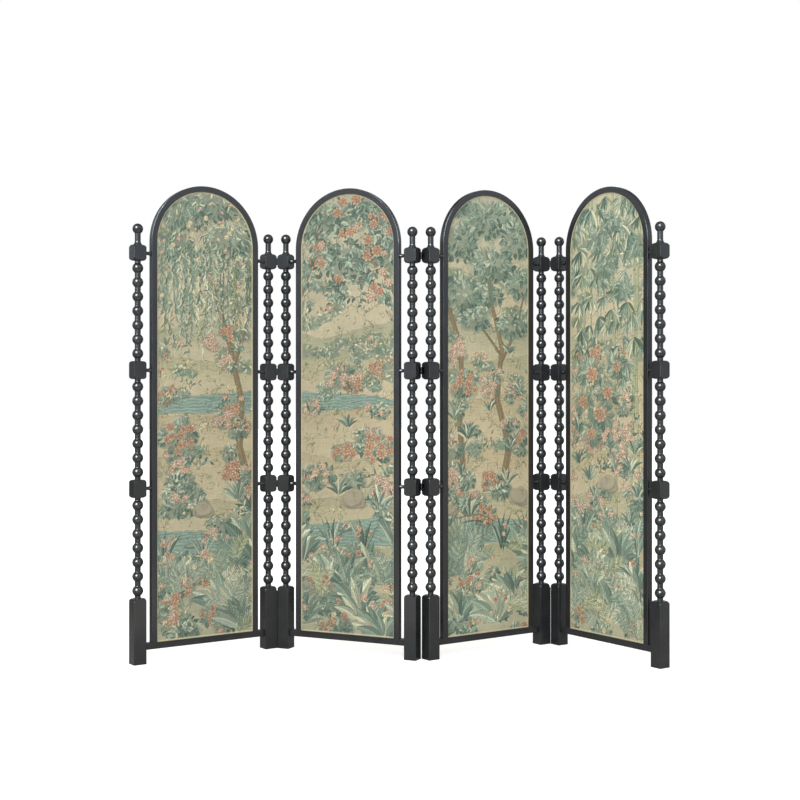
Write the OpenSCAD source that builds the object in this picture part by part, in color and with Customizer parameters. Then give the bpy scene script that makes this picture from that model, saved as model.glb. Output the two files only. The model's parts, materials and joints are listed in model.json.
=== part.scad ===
/* [Screen] */
// Width of one leaf over the outer faces of its two posts
leaf_w = 602; // [560:2:760]
// Angle of the first leaf to the line of the screen
first_heading = 30; // [0:5:60]
// Fold between leaves 1 and 2, counted from flat
fold_1_2 = 60; // [0:5:180]
// Fold between leaves 2 and 3, counted from flat
fold_2_3 = 60; // [0:5:180]
// Fold between leaves 3 and 4, counted from flat
fold_3_4 = 90; // [0:5:180]

/* [Posts] */
// Side of the square blocks of a post
block_w = 50; // [44:1:60]
// Height of the foot block
foot_h = 244; // [160:2:320]
// Height of the two blocks between the runs of beads
block_h = 67; // [58:1:90]
// Height of the block under the finial
top_block_h = 58; // [54:1:80]
// Radius of the turned shoulders of the blocks
shoulder_r = 16; // [8:1:16]
// Easing of the upright arrises of the blocks
arris_r = 2.5; // [1:0.5:5]

/* [Bobbins] */
// Beads in each run
beads = 7; // [4:1:9]
// Diameter of a bead
bead_d = 40.5; // [34:0.5:46]
// Distance from one bead to the next
bead_pitch = 53; // [48:1:62]
// Distance from a block to the middle of the nearest bead
bead_end = 28; // [24:1:36]
// Diameter of the necks between the beads
neck_d = 22; // [16:0.5:26]
// Radius of the cove on each side of a bead
cove_r = 4; // [2:0.5:6]

/* [Finials] */
// Diameter of the finial's ball
ball_d = 39.5; // [32:0.5:44]
// Height of the ball's middle above the block
ball_rise = 60; // [45:1:80]
// Diameter of the collar on the block
collar_d = 32; // [26:1:34]
// Height of the collar
collar_h = 13; // [8:1:18]
// Height of the collar's upright edge
collar_edge = 2; // [1:0.5:4]

/* [Frame] */
// Clear width between a post and the arched frame
spool_gap = 26; // [20:1:40]
// Width of the stiles and of the arched head
stile_w = 22; // [20:1:32]
// Thickness of the arched frame
frame_t = 25; // [22:1:32]
// Height of the bottom rail
rail_h = 25; // [24:1:45]
// Height of the bottom rail above the floor
rail_clear = 50; // [20:5:120]
// Rise of the arch's spring line above the middle of the top block
spring_rise = 46; // [20:1:120]
// Rounding of the outer edges of the frame
frame_edge_r = 2.5; // [1:0.5:5]

/* [Panel] */
// Thickness of the lip in front of the cloth
lip_t = 6.5; // [4:0.5:8]
// Width of the rebate behind the lip
rebate_w = 8; // [5:0.5:9]
// Thickness of the board
board_t = 9; // [6:0.5:12]
// Thickness of each cloth with its interlining
cloth_t = 1.5; // [0.5:0.25:2]
// Clearance round the board in its rebate
panel_gap = 0.5; // [0.2:0.1:1]

/* [Joinery] */
// Thickness of the tenons
tenon_t = 8; // [6:0.5:10]
// Height of the rail's tenons
rail_tenon_h = 15; // [10:1:20]
// Length of the rail's tenons
rail_tenon_l = 25; // [15:1:32]
// Width of the stiles' tenons
stile_tenon_w = 8; // [5:0.5:10]
// Length of the stiles' tenons
stile_tenon_l = 15; // [8:1:18]
// Clearance round tenons, spigots and screws
joint_gap = 0.1; // [0.05:0.05:0.2]
// Glue room at the end of each mortise and hole
glue_room = 1; // [0.5:0.5:2]

/* [Spools] */
// Diameter of a spool at its ends
spool_end_d = 18; // [15:1:22]
// Diameter of a spool at its waist
spool_waist_d = 13; // [11:1:14]
// Length of the straight edge at each end of a spool
spool_edge = 2; // [1:0.5:4]
// Diameter of the spigots
spigot_d = 10; // [8:0.5:10.5]
// Length of each spigot
spigot_l = 10; // [6:0.5:10.5]

/* [Hinges] */
// Gap between neighbouring posts when two leaves stand flat
hinge_gap = 1; // [0.8:0.1:2]
// Height of a hinge
hinge_h = 26; // [20:1:26]
// Width of one plate, from the pin's axis
plate_w = 20; // [16:1:28]
// Thickness of a plate
plate_t = 1.3; // [0.9:0.1:1.4]
// Gap between the two plates of a hinge when the leaves stand flat
plate_gap = 0.4; // [0.2:0.1:0.6]
// Diameter of the knuckles
knuckle_d = 6; // [5:0.5:7]
// Gap between knuckles, and between a knuckle and the other plate
knuckle_gap = 0.3; // [0.2:0.1:0.6]
// Diameter of the pin
pin_d = 3; // [2:0.25:3.5]
// Distance of the pin's axis outside the faces of the blocks
pin_out = 0.5; // [0.3:0.1:2]
// Running clearance between a pin and its knuckles, on the radius
pin_clearance = 0.05; // [0.02:0.01:0.1]
// Diameter of the pin's two heads
pin_head_d = 4.6; // [4:0.2:5]
// Thickness of a pin's head
pin_head_t = 1; // [0.6:0.1:1.5]
// Clearance of the seat that each knuckle turns in
seat_gap = 0.4; // [0.3:0.1:1]
// Radius of the nose that closes the slit between two feet whose pins are on the front
nose_r = 2.5; // [2:0.1:3]

/* [Screws] */
// Diameter of a screw's countersunk head
screw_head_d = 5.4; // [4.6:0.2:6]
// Diameter of a screw's shank
screw_d = 2.8; // [2.2:0.2:3.4]
// Length of a screw
screw_l = 14; // [10:1:18]
// Length of a screw's point
screw_point = 4; // [2:0.5:6]
// Distance of the screws from the pin's axis
screw_in = 13; // [10:1:14]
// Height of the screws above and below the middle of a hinge
screw_spread = 8; // [5:0.5:9]
// Width of the slot in a screw's head
slot_w = 0.7; // [0.5:0.1:1]
// Depth of the slot in a screw's head
slot_depth = 0.6; // [0.3:0.1:0.8]

/* [Hidden] */
leaves = 4;
ebonised = "#1c1e20";
blackened = "#26282a";
plywood = "#b79a6c";
verdure = "#a3a67f";
lining = "#b5a888";

// Facets of large and small rounds, and what a cutter runs past a face
large_fn = 128;
small_fn = 48;
past = 1;
// Arcs that meet a curve on a tangent overlap it by this much
kiss = 0.002;

// Heights of the post, from the floor up
run_h = 2 * bead_end + (beads - 1) * bead_pitch;
runs = 3;
function run_z(k) = foot_h + k * (run_h + block_h);
function block_z(k) = run_z(k) + run_h;
top_block_z = block_z(runs - 1);
finial_z = top_block_z + top_block_h;
block_mids = [block_z(0) + block_h / 2, block_z(1) + block_h / 2, top_block_z + top_block_h / 2];

// Turned shoulder: from the flat top out to the corners of the square
corner_r = block_w / sqrt(2);
flat_r = corner_r - shoulder_r;

// Spool: its cove dips from the ends to the waist
spool_dip = (spool_end_d - spool_waist_d) / 2;
spool_cove_l = spool_gap - 2 * spool_edge;
spool_cove_r = (pow(spool_cove_l / 2, 2) + pow(spool_dip, 2)) / (2 * spool_dip);

// Collar of the finial: its cove rises from the edge to the neck
collar_dip = (collar_d - neck_d) / 2;
collar_cove_h = collar_h - collar_edge;
collar_cove_r = (pow(collar_cove_h, 2) + pow(collar_dip, 2)) / (2 * collar_dip);

// Arched frame, seen from the front, about the middle of the leaf
mid_x = leaf_w / 2;
frame_x = block_w + spool_gap;
arch_r = mid_x - frame_x;
open_r = arch_r - stile_w;
rail_top_z = rail_clear + rail_h;
spring_z = block_mids[2] + spring_rise;
stile_h = spring_z - rail_top_z;
stile_solid_w = stile_w - rebate_w;

// Layers of the panel, from front to back
lip_y = -frame_t / 2 + lip_t;
board_y = lip_y + cloth_t;
back_cloth_y = board_y + board_t;
back_bead_y = back_cloth_y + cloth_t;
back_bead_t = frame_t / 2 - back_bead_y;

// Hinges, about the outer face of a post, with the pin on the front
pin_x = -hinge_gap / 2;
pin_y = -(block_w / 2 + pin_out);
plate_x = (plate_gap - hinge_gap) / 2;
knuckle_h = (hinge_h - 2 * knuckle_gap) / 3;
knuckle_reach = knuckle_d / 2 + knuckle_gap;
function knuckle_z(j) = -hinge_h / 2 + j * (knuckle_h + knuckle_gap);

// Plan of the screen: odd lines fold towards the front, even lines to the back
folds = [fold_1_2, fold_2_3, fold_3_4];
function pin_side(line) = line % 2 == 1 ? 1 : -1;
function turned(v, a) = [v[0] * cos(a) - v[1] * sin(a), v[0] * sin(a) + v[1] * cos(a)];
function heading(i) = i == 1 ? first_heading : heading(i - 1) - pin_side(i - 1) * folds[i - 2];
function left_pin(line) = [pin_x, pin_side(line) * pin_y];
function right_pin(line) = [leaf_w - pin_x, pin_side(line) * pin_y];
function corner(i) = i == 1
    ? [0, 0]
    : corner(i - 1) + turned(right_pin(i - 1), heading(i - 1)) - turned(left_pin(i - 1), heading(i));

// The screen's plan box, from the rounded corners of its feet and its pins
corner_in = block_w / 2 - arris_r;
rounds = concat(
    [for (i = [1:leaves], x = [arris_r, leaf_w - arris_r], y = [-corner_in, corner_in])
        concat(corner(i) + turned([x, y], heading(i)), arris_r)],
    [for (i = [1:leaves - 1]) concat(corner(i) + turned(right_pin(i), heading(i)), knuckle_d / 2)]
);
centre = [for (axis = [0, 1])
    (min([for (c = rounds) c[axis] - c[2]]) + max([for (c = rounds) c[axis] + c[2]])) / 2];

leaf_parts = ["left_post", "right_post", "left_stile", "right_stile", "arched_head", "bottom_rail",
    "spools", "board", "front_cloth", "back_cloth", "back_bead", "hinge_screws"];
line_parts = ["hinge_left_plates", "hinge_right_plates", "hinge_pins"];

// Places what follows in the frame of leaf i, whose left post starts at x = 0
module on_leaf(i) {
    translate([corner(i)[0] - centre[0], corner(i)[1] - centre[1], 0])
        rotate([0, 0, heading(i)])
            children();
}

// Turns the left half of a leaf into its right half
module right_hand() {
    translate([leaf_w, 0, 0]) mirror([1, 0, 0]) children();
}

// Turns what is built for a pin on the front to the side that a line folds to
module folding_side(line) {
    mirror([0, pin_side(line) > 0 ? 0 : 1, 0]) children();
}

// Sets what follows on the outer face of a post, at each of its hinges
module at_hinges(line) {
    for (z = block_mids) translate([0, 0, z]) folding_side(line) children();
}

// Stands a flat outline up in the leaf, from y to y + t
module upright(y, t) {
    translate([mid_x, y + t, 0]) rotate([90, 0, 0]) linear_extrude(t) children();
}

// Square of the post with its eased arrises
module eased_square(side, r) {
    square([side - 2 * r, side], center = true);
    square([side, side - 2 * r], center = true);
    for (sx = [-1, 1], sy = [-1, 1])
        translate([sx * (side / 2 - r), sy * (side / 2 - r)]) circle(r, $fn = small_fn);
}

// Half outline of a turned shoulder that closes a block of height h
module shoulder_profile(h) {
    square([flat_r, h]);
    square([corner_r, h - shoulder_r]);
    translate([flat_r, h - shoulder_r]) intersection() {
        circle(shoulder_r, $fn = large_fn);
        square(shoulder_r);
    }
}

// Square block, turned at its top, and at its foot too unless it stands on the floor
module block(h, on_floor = false) {
    intersection() {
        linear_extrude(h) eased_square(block_w, arris_r);
        rotate_extrude($fn = large_fn) shoulder_profile(h);
        if (!on_floor) translate([0, 0, h]) mirror([0, 0, 1])
            rotate_extrude($fn = large_fn) shoulder_profile(h);
    }
}

// Half outline of a ball on a neck, with a cove on each side that ends = [...] names
module bead_profile(d, ends) {
    cove_x = neck_d / 2 + cove_r;
    cove_z = sqrt(pow(d / 2 + cove_r, 2) - pow(cove_x, 2));
    intersection() {
        circle(d = d, $fn = large_fn);
        translate([0, -d]) square([d, 2 * d]);
    }
    for (s = ends) scale([1, s]) difference() {
        polygon([[0, 0], [cove_x, cove_z], [neck_d / 2, cove_z], [0, cove_z]]);
        translate([cove_x, cove_z]) circle(cove_r + kiss, $fn = small_fn);
    }
}

// Run of beads between two blocks, turned in one piece with its necks
module bead_run() {
    rotate_extrude($fn = large_fn) {
        square([neck_d / 2, run_h]);
        for (i = [0:beads - 1])
            translate([0, bead_end + i * bead_pitch]) bead_profile(bead_d, [-1, 1]);
    }
}

// Finial: coved collar, neck and ball
module finial() {
    rotate_extrude($fn = large_fn) {
        square([neck_d / 2, ball_rise]);
        difference() {
            square([collar_d / 2, collar_h]);
            translate([neck_d / 2 + collar_cove_r, collar_h])
                circle(collar_cove_r + kiss, $fn = large_fn);
        }
        translate([0, ball_rise]) bead_profile(ball_d, [-1]);
    }
}

// Seat for a hinge in a block: round for its knuckles, shallow for its plate
module hinge_seat() {
    seat_h = hinge_h + 2 * (pin_head_t + seat_gap);
    translate([pin_x, pin_y, -seat_h / 2])
        cylinder(d = knuckle_d + 2 * seat_gap, h = seat_h, $fn = small_fn);
    translate([-past, pin_y, -hinge_h / 2 - joint_gap])
        cube([past + plate_x + plate_t, plate_w + joint_gap, hinge_h + 2 * joint_gap]);
}

// Countersunk screw along +x, its head flush at x = 0; extra grows it into its hole
module screw_body(extra, tip) {
    head_t = (screw_head_d - screw_d) / 2;
    r = screw_d / 2 + extra;
    rotate([0, 90, 0]) rotate_extrude($fn = small_fn)
        polygon([[0, 0], [screw_head_d / 2 + extra, 0], [r, head_t], [r, screw_l - screw_point + tip],
            [0, screw_l + tip]]);
}

// Places of the two screws of one plate
module at_screws() {
    for (s = [-1, 1]) translate([plate_x, pin_y + screw_in, s * screw_spread]) children();
}

// Block of a left post, bored for its spool and cut for the hinge of a line above 0
module fitted_block(h, line) {
    difference() {
        translate([block_w / 2, 0, 0]) block(h);
        translate([0, 0, h / 2]) {
            translate([block_w - spigot_l - glue_room, 0, 0]) rotate([0, 90, 0])
                cylinder(d = spigot_d + 2 * joint_gap, h = spigot_l + glue_room + past, $fn = small_fn);
            if (line > 0) folding_side(line) {
                hinge_seat();
                at_screws() screw_body(joint_gap, glue_room);
            }
        }
    }
}

// Feet whose pins are on the front meet in a rule joint: the nose of one turns in the cove of
// the other, about the line of the pins
module foot_nose() {
    intersection() {
        translate([pin_x, pin_y, 0]) cylinder(r = nose_r, h = foot_h - shoulder_r, $fn = small_fn);
        translate([-block_w / 2, -block_w / 2, 0]) cube([block_w, block_w, foot_h]);
    }
}

module foot_cove() {
    translate([pin_x, pin_y, -past]) cylinder(r = nose_r + seat_gap, h = foot_h + 2 * past, $fn = small_fn);
}

// Foot of a left post, with the mortise for the bottom rail
module foot(line, nosed) {
    ruled = line > 0 && pin_side(line) > 0;
    if (ruled && nosed) foot_nose();
    difference() {
        translate([block_w / 2, 0, 0]) block(foot_h, on_floor = true);
        if (ruled && !nosed) foot_cove();
        translate([block_w - rail_tenon_l - glue_room, -tenon_t / 2 - joint_gap,
                rail_clear + (rail_h - rail_tenon_h) / 2 - joint_gap])
            cube([rail_tenon_l + glue_room + past, tenon_t + 2 * joint_gap, rail_tenon_h + 2 * joint_gap]);
    }
}

// Left post of a leaf; line is the hinge line at its outer face, or 0 where it is free
module post(line, nosed) {
    color(ebonised) {
        foot(line, nosed);
        for (k = [0:runs - 1]) translate([block_w / 2, 0, run_z(k)]) bead_run();
        for (k = [0:runs - 2]) translate([0, 0, block_z(k)]) fitted_block(block_h, line);
        translate([0, 0, top_block_z]) fitted_block(top_block_h, line);
        translate([block_w / 2, 0, finial_z]) finial();
    }
}

// Section of the frame: x runs out from the opening, y towards the front
module frame_section(w) {
    inner = w - frame_edge_r;
    translate([0, -frame_t / 2]) square([inner, frame_t]);
    translate([0, -frame_t / 2 + frame_edge_r]) square([w, frame_t - 2 * frame_edge_r]);
    for (s = [-1, 1])
        translate([inner, s * (frame_t / 2 - frame_edge_r)]) circle(frame_edge_r, $fn = small_fn);
}

// The same with the rebate that holds the panel
module rebated_section(w) {
    difference() {
        frame_section(w);
        translate([-past, -frame_t / 2 - past]) square([rebate_w + past, frame_t - lip_t + past]);
    }
}

// Tenon of a stile, or with extra the mortise for it, upwards from z = 0
module stile_tenon(extra, more) {
    translate([-stile_tenon_w / 2 - extra, -tenon_t / 2 - extra, 0])
        cube([stile_tenon_w + 2 * extra, tenon_t + 2 * extra, stile_tenon_l + more]);
}

// Places of the stile tenons, at the middle of the solid part of each stile
module at_stile_tenons() {
    for (s = [-1, 1]) translate([mid_x + s * (arch_r - stile_solid_w / 2), 0, 0]) children();
}

module left_stile() {
    color(ebonised) {
        difference() {
            translate([mid_x - open_r, 0, rail_top_z])
                linear_extrude(stile_h) rotate(180) rebated_section(stile_w);
            for (z = block_mids)
                translate([frame_x - past, 0, z]) rotate([0, 90, 0])
                    cylinder(d = spigot_d + 2 * joint_gap, h = spigot_l + glue_room + past, $fn = small_fn);
        }
        translate([frame_x + stile_solid_w / 2, 0, spring_z]) stile_tenon(0, 0);
        translate([frame_x + stile_solid_w / 2, 0, rail_top_z]) mirror([0, 0, 1]) stile_tenon(0, 0);
    }
}

module arched_head() {
    color(ebonised) difference() {
        translate([mid_x, 0, spring_z]) rotate([90, 0, 0])
            rotate_extrude(angle = 180, $fn = large_fn) translate([open_r, 0]) rebated_section(stile_w);
        translate([0, 0, spring_z]) at_stile_tenons() {
            stile_tenon(joint_gap, glue_room);
            mirror([0, 0, 1]) stile_tenon(joint_gap, past);
        }
    }
}

module bottom_rail() {
    rail_l = leaf_w - 2 * block_w;
    color(ebonised) {
        difference() {
            translate([block_w, 0, rail_top_z])
                rotate([90, 0, 90]) linear_extrude(rail_l) rotate(-90) frame_section(rail_h);
            translate([mid_x - open_r - rebate_w, lip_y, rail_top_z - rebate_w])
                cube([2 * (open_r + rebate_w), frame_t, rebate_w + past]);
            translate([0, 0, rail_top_z]) at_stile_tenons()
                mirror([0, 0, 1]) stile_tenon(joint_gap, glue_room);
        }
        for (x = [block_w - rail_tenon_l, leaf_w - block_w])
            translate([x, -tenon_t / 2, rail_clear + (rail_h - rail_tenon_h) / 2])
                cube([rail_tenon_l, tenon_t, rail_tenon_h]);
    }
}

// One spool with its two spigots, along +x from the post's face
module spool() {
    rotate([0, 90, 0]) rotate_extrude($fn = small_fn) {
        translate([0, -spigot_l]) square([spigot_d / 2, spool_gap + 2 * spigot_l]);
        difference() {
            square([spool_end_d / 2, spool_gap]);
            translate([spool_waist_d / 2 + spool_cove_r, spool_gap / 2])
                circle(spool_cove_r, $fn = large_fn);
        }
    }
}

module spools() {
    color(ebonised) for (z = block_mids) {
        translate([block_w, 0, z]) spool();
        right_hand() translate([block_w, 0, z]) spool();
    }
}

// Arched outline of the panel, grown past the opening
module panel_outline(grow) {
    r = open_r + grow;
    translate([-r, rail_top_z - grow]) square([2 * r, stile_h + grow]);
    translate([0, spring_z]) intersection() {
        circle(r, $fn = large_fn);
        translate([-r, -past]) square([2 * r, r + 2 * past]);
    }
}

module board() {
    color(plywood) upright(board_y, board_t) panel_outline(rebate_w - panel_gap);
}

module front_cloth() {
    color(verdure) upright(lip_y, cloth_t) panel_outline(rebate_w - panel_gap);
}

module back_cloth() {
    color(lining) upright(back_cloth_y, cloth_t) panel_outline(rebate_w - panel_gap);
}

// Bead that holds the panel from behind: bent head, two sides and a foot
module back_bead() {
    bead_w = rebate_w - joint_gap;
    color(ebonised) {
        translate([mid_x, frame_t / 2, spring_z]) rotate([90, 0, 0])
            rotate_extrude(angle = 180, $fn = large_fn)
                translate([open_r, 0]) square([bead_w, back_bead_t]);
        for (x = [mid_x - open_r - bead_w, mid_x + open_r])
            translate([x, back_bead_y, rail_top_z + joint_gap])
                cube([bead_w, back_bead_t, stile_h - 2 * joint_gap]);
        translate([mid_x - open_r - bead_w, back_bead_y, rail_top_z - bead_w])
            cube([2 * (open_r + bead_w), back_bead_t, bead_w]);
    }
}

// One hinge plate on the outer face of a post, with the knuckles that js = [...] names
module hinge_plate(js) {
    difference() {
        union() {
            translate([plate_x, pin_y + knuckle_reach, -hinge_h / 2])
                cube([plate_t, plate_w - knuckle_reach, hinge_h]);
            for (j = js) translate([0, 0, knuckle_z(j)]) {
                translate([pin_x, pin_y, 0]) cylinder(d = knuckle_d, h = knuckle_h, $fn = small_fn);
                translate([plate_x, pin_y, 0]) cube([plate_t, knuckle_reach, knuckle_h]);
            }
        }
        translate([pin_x, pin_y, -hinge_h / 2 - past])
            cylinder(d = pin_d + 2 * pin_clearance, h = hinge_h + 2 * past, $fn = small_fn);
        at_screws() screw_body(joint_gap, 0);
    }
}

module hinge_pin() {
    translate([pin_x, pin_y, 0]) {
        translate([0, 0, -hinge_h / 2]) cylinder(d = pin_d, h = hinge_h, $fn = small_fn);
        for (z = [-hinge_h / 2 - pin_head_t, hinge_h / 2])
            translate([0, 0, z]) cylinder(d = pin_head_d, h = pin_head_t, $fn = small_fn);
    }
}

module hinge_screw() {
    difference() {
        screw_body(0, 0);
        translate([-past, -screw_head_d, -slot_w / 2]) cube([slot_depth + past, 2 * screw_head_d, slot_w]);
    }
}

module hinge_screws(i) {
    color(blackened) {
        if (i > 1) at_hinges(i - 1) at_screws() hinge_screw();
        if (i < leaves) right_hand() at_hinges(i) at_screws() hinge_screw();
    }
}

// Plates on the right end of the leaf before the line, with the two outer knuckles
module hinge_left_plates(line) {
    color(blackened) right_hand() at_hinges(line) hinge_plate([0, 2]);
}

// Plates on the left end of the leaf after the line, with the middle knuckle
module hinge_right_plates(line) {
    color(blackened) at_hinges(line) hinge_plate([1]);
}

module hinge_pins(line) {
    color(blackened) right_hand() at_hinges(line) hinge_pin();
}

for (i = [1:leaves]) on_leaf(i) {
    post(i - 1, false);
    right_hand() post(i < leaves ? i : 0, true);
    left_stile();
    right_hand() left_stile();
    arched_head();
    bottom_rail();
    spools();
    board();
    front_cloth();
    back_cloth();
    back_bead();
    hinge_screws(i);
}
for (line = [1:leaves - 1]) {
    on_leaf(line) {
        hinge_left_plates(line);
        hinge_pins(line);
    }
    on_leaf(line + 1)
        hinge_right_plates(line);
}
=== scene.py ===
import json
from itertools import cycle
from math import atan2, copysign, cos, hypot, pi, radians, sin, sqrt

import bpy
import numpy as np
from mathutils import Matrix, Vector


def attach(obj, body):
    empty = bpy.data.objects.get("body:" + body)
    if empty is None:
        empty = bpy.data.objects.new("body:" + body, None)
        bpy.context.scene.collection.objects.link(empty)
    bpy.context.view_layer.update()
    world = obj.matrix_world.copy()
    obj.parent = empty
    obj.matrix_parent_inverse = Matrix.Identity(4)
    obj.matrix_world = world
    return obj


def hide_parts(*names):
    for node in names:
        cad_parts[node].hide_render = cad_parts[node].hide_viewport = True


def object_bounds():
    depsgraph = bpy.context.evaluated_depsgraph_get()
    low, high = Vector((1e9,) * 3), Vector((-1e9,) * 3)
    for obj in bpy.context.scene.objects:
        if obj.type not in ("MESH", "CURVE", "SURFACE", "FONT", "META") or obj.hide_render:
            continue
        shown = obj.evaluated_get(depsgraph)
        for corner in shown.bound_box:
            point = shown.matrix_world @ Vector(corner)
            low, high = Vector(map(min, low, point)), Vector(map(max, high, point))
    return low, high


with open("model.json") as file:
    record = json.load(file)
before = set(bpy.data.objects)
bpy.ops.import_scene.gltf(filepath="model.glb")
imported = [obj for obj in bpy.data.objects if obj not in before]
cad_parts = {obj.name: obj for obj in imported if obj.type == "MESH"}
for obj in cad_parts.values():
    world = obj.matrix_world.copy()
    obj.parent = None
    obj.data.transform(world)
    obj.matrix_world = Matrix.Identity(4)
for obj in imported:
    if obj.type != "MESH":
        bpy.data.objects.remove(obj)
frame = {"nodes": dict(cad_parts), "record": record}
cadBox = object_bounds()
nodes = frame["nodes"]
print("Frame loaded:", len(nodes), "CAD nodes")

# Each leaf's place comes from its feet: its middle on the floor, its way along and its way to the back
mounts = {mount["name"]: Vector(mount["pos_m"]) for mount in frame["record"]["mounts"]}
leaves = sorted(name.rsplit("_", 1)[1] for name in mounts if name.startswith("left_foot"))


def leafPlace(leaf):
    left, right = mounts[f"left_foot_{leaf}"], mounts[f"right_foot_{leaf}"]
    along = (right - left).normalized()
    return (left + right) / 2, along, Vector((-along.y, along.x, 0))


def onLeaf(name, leaf):
    # a CAD node's corners from the middle of its leaf: along it, through it and up
    middle, along, back = leafPlace(leaf)
    points = np.array([vertex.co for vertex in nodes[f"{name}_{leaf}"].data.vertices])
    return (points - np.array(middle)) @ np.array([along, back, (0, 0, 1)]).T


# The camera stands left of the screen's middle, level, a little above half the screen's height
cameraSetup = {
    "lens": 58.34,  # mm
    "sensor": 36.0,
    "place": (-0.3926, -4.9134, 0.9795),
    "turn": -4.816,  # degrees; less than 0 is to the right
    "rise": 0.0006,  # the photograph's horizon lies half a pixel under its middle
    "far": 100.0,  # metres that it sees
}
camera = bpy.data.objects.new("camera", bpy.data.cameras.new("camera"))
bpy.context.scene.collection.objects.link(camera)
camera.data.lens = cameraSetup["lens"]
camera.data.sensor_width = cameraSetup["sensor"]
camera.data.shift_y = cameraSetup["rise"]
camera.data.clip_end = cameraSetup["far"]
camera.location = cameraSetup["place"]
camera.rotation_euler = (radians(90), 0, radians(cameraSetup["turn"]))
bpy.context.scene.camera = camera
print("Camera placed")


def toneOf(text):
    # an sRGB hex as three shares of 1
    return np.array([int(text[i : i + 2], 16) for i in (1, 3, 5)]) / 255


def toLinear(tone):
    # sRGB shares to linear ones
    return np.where(tone <= 0.04045, tone / 12.92, ((tone + 0.055) / 1.055) ** 2.4)


def hexToLinear(text):
    return (*toLinear(toneOf(text)), 1.0)


def addNode(tree, kind, inputs=(), stops=(), **settings):
    # one node with its settings. Its inputs are values or other nodes' sockets, by name or in the
    # node's own order, and the stops of a colour ramp are places and hex colours.
    node = tree.nodes.new("ShaderNode" + kind)
    for name, value in settings.items():
        setattr(node, name, value)
    for name, value in inputs.items() if isinstance(inputs, dict) else enumerate(inputs):
        if isinstance(value, bpy.types.NodeSocket):
            tree.links.new(value, node.inputs[name])
        else:
            node.inputs[name].default_value = value
    for element, (place, colour) in zip(node.color_ramp.elements if stops else (), stops):
        element.position = place
        element.color = hexToLinear(colour)
    return node


def wavesOf(step):
    # a wave texture's scale for bands that are step mm apart, on a map in metres
    return 1000 * pi / (10 * step)


def startMaterial(name):
    material = bpy.data.materials.new(name)
    material.use_nodes = True
    material.node_tree.nodes.clear()
    return material, material.node_tree


def finishMaterial(tree, shader):
    addNode(tree, "OutputMaterial", {"Surface": shader.outputs[0]})


# Ebonised beech: stained black, lacquered satin and rubbed, so it stays near black and
# shows the room as soft streaks. Its pores are fine dashes that follow the grain.
ebonisedBeech = {
    "stain": ((0.16, "#292b2c"), (0.42, "#333537")),  # greyer where the wood took less of it
    "clouds": 14.0,  # to the metre, in the stain and the rubbing
    "roughness": (0.15, 0.22),
    "poreWidth": 0.9,  # mm across the grain; real beech pores are 0.1 mm and wouldn't show
    "poreLength": 22.0,  # mm along it
    "poreDepth": 0.012,  # mm
    "latheStep": 1.6,  # mm between the turning tool's rings; real ones, 0.4 mm apart, wouldn't show
    "latheDepth": 0.012,
}


def bentGrain(tree, place, leaf):
    # the same place as if the leaf's arch were bent straight: away from its middle twice, and round it
    middle, along, _ = leafPlace(leaf)
    cloth = onLeaf("front_cloth", leaf)
    half = float(cloth[:, 0].max())
    centre = (middle.x, middle.y, cloth[:, 2].max() - half)
    centred = addNode(tree, "VectorMath", (place, centre), operation="SUBTRACT").outputs[0]
    x, z = (
        addNode(tree, "VectorMath", (centred, way), operation="DOT_PRODUCT").outputs["Value"]
        for way in (tuple(along), (0, 0, 1))
    )
    flat = addNode(tree, "CombineXYZ", {"X": x, "Y": z}).outputs[0]
    radius = addNode(tree, "VectorMath", (flat,), operation="LENGTH").outputs["Value"]
    angle = addNode(tree, "Math", (z, x), operation="ARCTAN2").outputs[0]
    arc = addNode(tree, "Math", (angle, half), operation="MULTIPLY").outputs[0]
    return addNode(tree, "CombineXYZ", (radius, radius, arc)).outputs[0]


def makeBeech(name, grain, leaf=None, turned=False):
    # grain is "up" a post or stile, "along" a rail, or "bent" round the leaf's arch
    s = ebonisedBeech
    material, tree = startMaterial(name)
    place = addNode(tree, "TexCoord").outputs["Object"]
    if grain == "bent":
        place = bentGrain(tree, place, leaf)
    across, run = 1000 / s["poreWidth"], 1000 / s["poreLength"]
    scale = (run, run, across) if grain == "along" else (across, across, run)
    laid = addNode(tree, "Mapping", {"Vector": place, "Scale": scale}).outputs[0]
    dashes = {"Vector": laid, "Scale": 1.0, "Detail": 2.0, "Roughness": 0.6}
    pores = addNode(tree, "TexNoise", dashes).outputs["Fac"]
    patches = {"Vector": place, "Scale": s["clouds"], "Detail": 3.0}
    clouds = addNode(tree, "TexNoise", patches).outputs["Fac"]
    taken = addNode(tree, "Math", (pores, clouds), operation="MULTIPLY").outputs[0]
    stain = addNode(tree, "ValToRGB", {"Fac": taken}, stops=s["stain"])
    gloss = addNode(tree, "MapRange", (clouds, 0.35, 0.65, *s["roughness"]))
    bump = addNode(tree, "Bump", {"Height": pores, "Strength": 1.0, "Distance": s["poreDepth"] / 1000})
    if turned:
        bands = {"Vector": place, "Scale": wavesOf(s["latheStep"]), "Distortion": 0.6, "Detail": 1.0}
        rings = addNode(tree, "TexWave", bands, wave_type="BANDS", bands_direction="Z")
        bump = addNode(tree, "Bump", {
            "Height": rings.outputs["Fac"], "Strength": 1.0, "Distance": s["latheDepth"] / 1000,
            "Normal": bump.outputs[0],
        })
    finishMaterial(tree, addNode(tree, "BsdfPrincipled", {
        "Base Color": stain.outputs["Color"], "Roughness": gloss.outputs[0], "Normal": bump.outputs[0],
        "IOR": 1.5,
    }))
    return material


# Blackened mild steel, oiled: a dark metal that only shines at its edges
blackenedSteel = {
    "patina": ((0.4, "#2b2d30"), (0.7, "#4a4c4f")),
    "mottle": 3.0,  # mm
    "roughness": (0.5, 0.32),  # where the patina is dark, and where it is light
    "relief": 0.02,  # mm
}


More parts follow.
